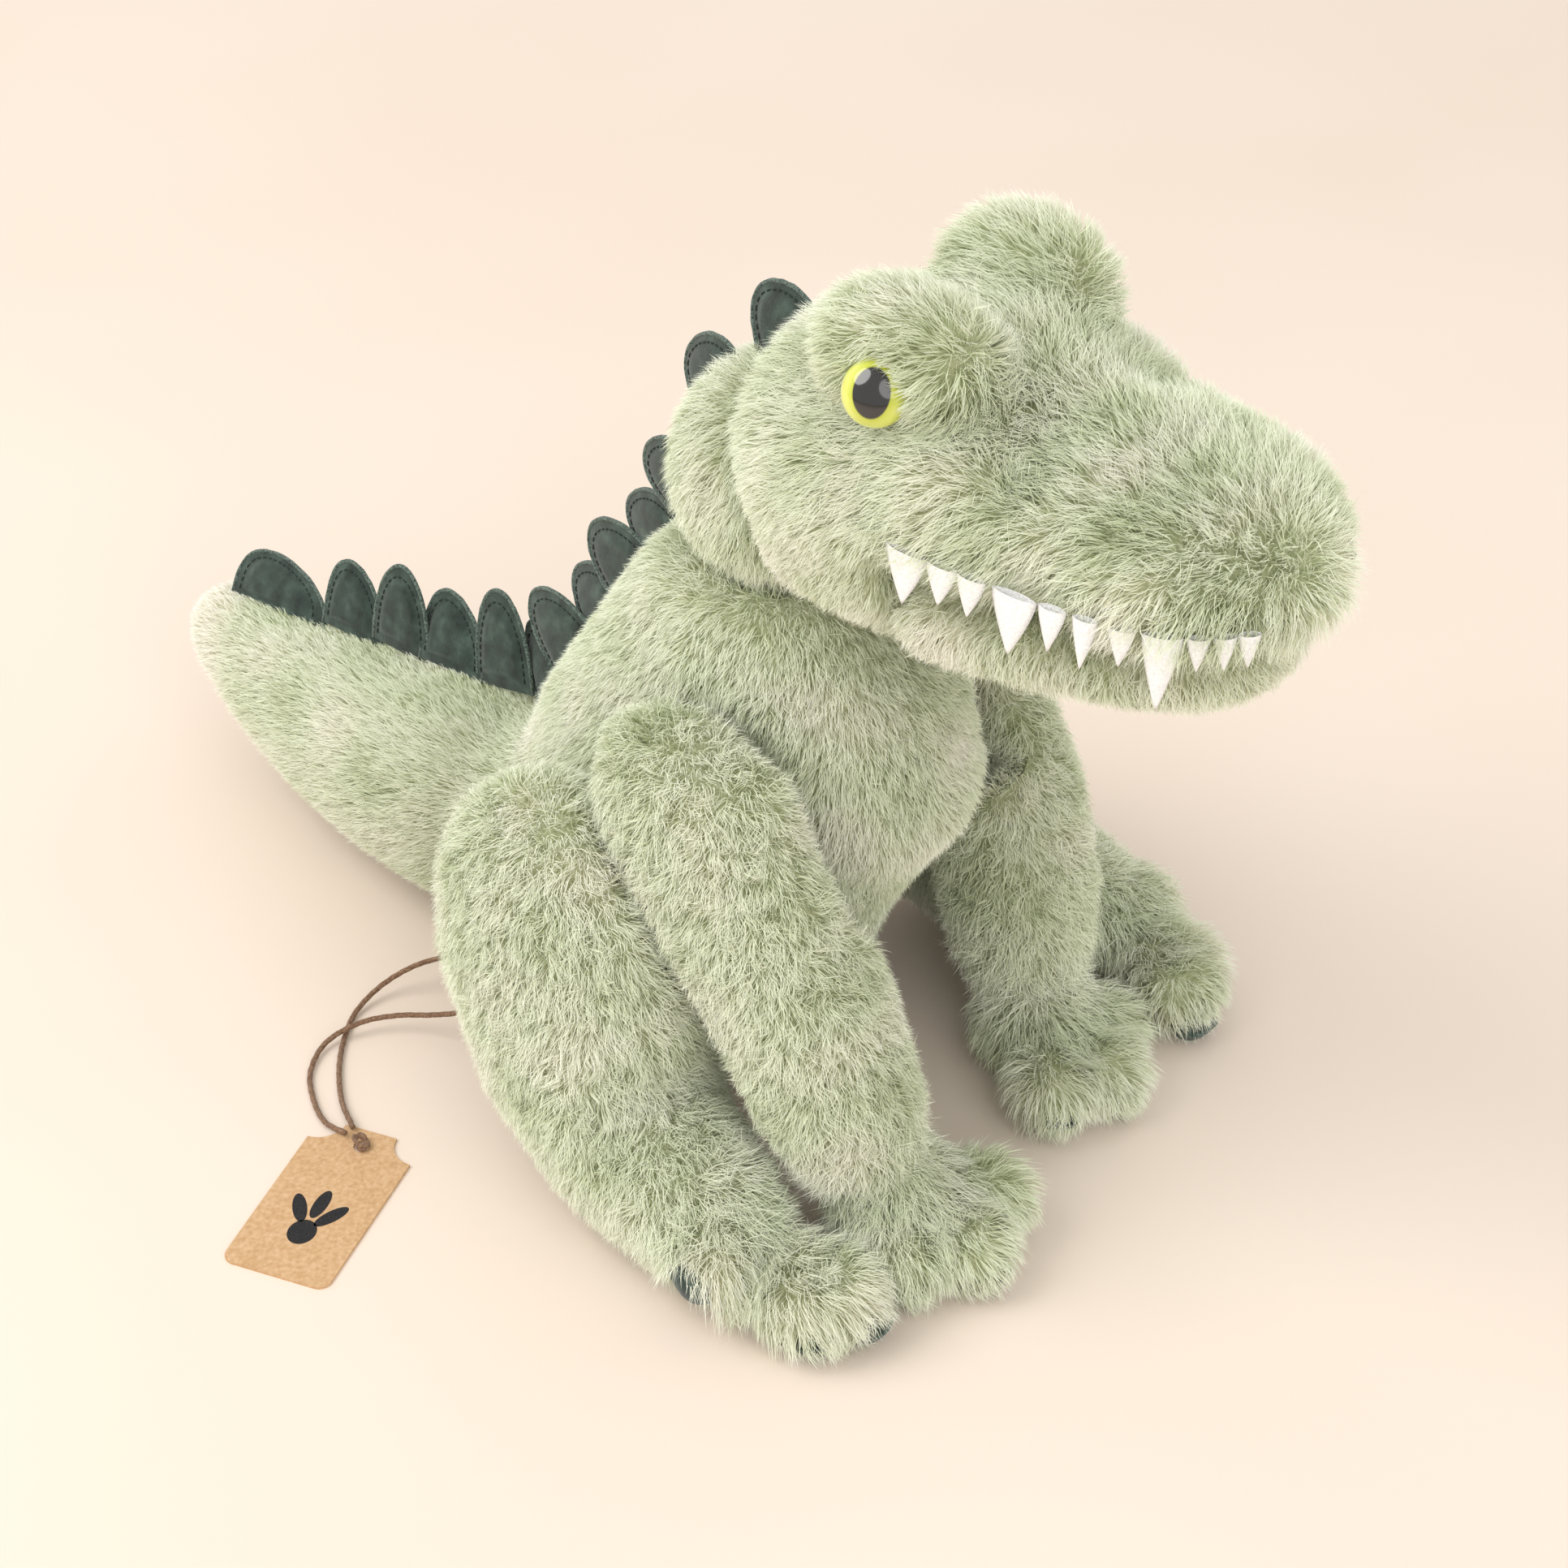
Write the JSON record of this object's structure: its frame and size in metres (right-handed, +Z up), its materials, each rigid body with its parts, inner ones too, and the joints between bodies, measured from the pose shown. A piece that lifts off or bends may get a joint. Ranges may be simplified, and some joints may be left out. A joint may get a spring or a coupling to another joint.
{
  "type": "stuffed toy dinosaur",
  "caption": "Seated plush dinosaur with a suede back crest and claws, felt teeth, domed plastic eyes, a turning and nodding head, swinging limbs and tail, and a card tag on a twine loop.",
  "frame": {"origin": "on the floor under the seat, on the toy's plane of symmetry, in the torso's flat bottom face", "axes": "+Z up, -Y the way the toy faces, -X the toy's right side; the tail points to +Y"},
  "size_m": [0.3072, 0.4577, 0.312],
  "materials": {
    "plush_pile": "long soft pile, sage green with paler tips",
    "polyester_wadding": "loose fibre filling",
    "calico_bean_bag": "plain woven bag of plastic pellets",
    "faux_suede": "napped dark green suede cloth",
    "felt": "white felt",
    "eye_plastic": "glossy dome, yellow-green with a black oval pupil",
    "nylon_washer": "natural nylon",
    "kraft_card": "brown card, uncoated",
    "jute_twine": "rough spun twine"
  },
  "bodies": {
    "torso": {"torso_cover": "plush_pile", "torso_filling": "polyester_wadding", "bean_bag": "calico_bean_bag", "torso_spike_1": "faux_suede", "torso_spike_2": "faux_suede", "torso_spike_3": "faux_suede", "torso_spike_4": "faux_suede", "torso_spike_5": "faux_suede", "torso_spike_6": "faux_suede", "twine_strand_1": "jute_twine", "twine_strand_2": "jute_twine", "twine_knot": "jute_twine", "hang_tag": "kraft_card"},
    "neck": {"neck_filling": "polyester_wadding", "neck_spike_1": "faux_suede", "neck_spike_2": "faux_suede"},
    "head": {"head_cover": "plush_pile", "head_filling": "polyester_wadding", "jaw_cover": "plush_pile", "jaw_filling": "polyester_wadding", "brow_r": "plush_pile", "brow_l": "plush_pile", "eye_r": "eye_plastic", "eye_l": "eye_plastic", "eye_washer_r": "nylon_washer", "eye_washer_l": "nylon_washer", "teeth_r": "felt", "teeth_l": "felt", "head_spike_1": "faux_suede"},
    "arm_r": {"arm_r_cover": "plush_pile", "arm_r_filling": "polyester_wadding", "finger_claw_r1": "faux_suede", "finger_claw_r2": "faux_suede", "finger_claw_r3": "faux_suede"},
    "arm_l": {"arm_l_cover": "plush_pile", "arm_l_filling": "polyester_wadding", "finger_claw_l1": "faux_suede", "finger_claw_l2": "faux_suede", "finger_claw_l3": "faux_suede"},
    "leg_r": {"leg_r_cover": "plush_pile", "leg_r_filling": "polyester_wadding", "toe_claw_r1": "faux_suede", "toe_claw_r2": "faux_suede", "toe_claw_r3": "faux_suede"},
    "leg_l": {"leg_l_cover": "plush_pile", "leg_l_filling": "polyester_wadding", "toe_claw_l1": "faux_suede", "toe_claw_l2": "faux_suede", "toe_claw_l3": "faux_suede"},
    "tail": {"tail_cover": "plush_pile", "tail_filling": "polyester_wadding", "tail_spike_1": "faux_suede", "tail_spike_2": "faux_suede", "tail_spike_3": "faux_suede", "tail_spike_4": "faux_suede", "tail_spike_5": "faux_suede"}
  },
  "joints": [
    {"name": "head_turn", "type": "hinge", "parent": "torso", "child": "neck", "pos_m": [0, 0.013, 0.222], "axis": [0, 0, 1], "range_deg": [-30, 30]},
    {"name": "head_nod", "type": "hinge", "parent": "neck", "child": "head", "pos_m": [0, 0.013, 0.222], "axis": [1, 0, 0], "range_deg": [-8, 8]},
    {"name": "arm_swing_r", "type": "hinge", "parent": "torso", "child": "arm_r", "pos_m": [-0.051, 0.002, 0.148], "axis": [-1, 0, 0], "range_deg": [0, 45]},
    {"name": "arm_swing_l", "type": "hinge", "parent": "torso", "child": "arm_l", "pos_m": [0.051, 0.015, 0.148], "axis": [-1, 0, 0], "range_deg": [0, 45]},
    {"name": "leg_splay_r", "type": "hinge", "parent": "torso", "child": "leg_r", "pos_m": [-0.051, 0.04, 0.138], "axis": [0, 1, 0], "range_deg": [0, 15]},
    {"name": "leg_splay_l", "type": "hinge", "parent": "torso", "child": "leg_l", "pos_m": [0.051, 0.04, 0.138], "axis": [0, -1, 0], "range_deg": [0, 15]},
    {"name": "tail_swing", "type": "hinge", "parent": "torso", "child": "tail", "pos_m": [0, 0.108, 0.048], "axis": [0, 0, 1], "range_deg": [-20, 20]}
  ]
}
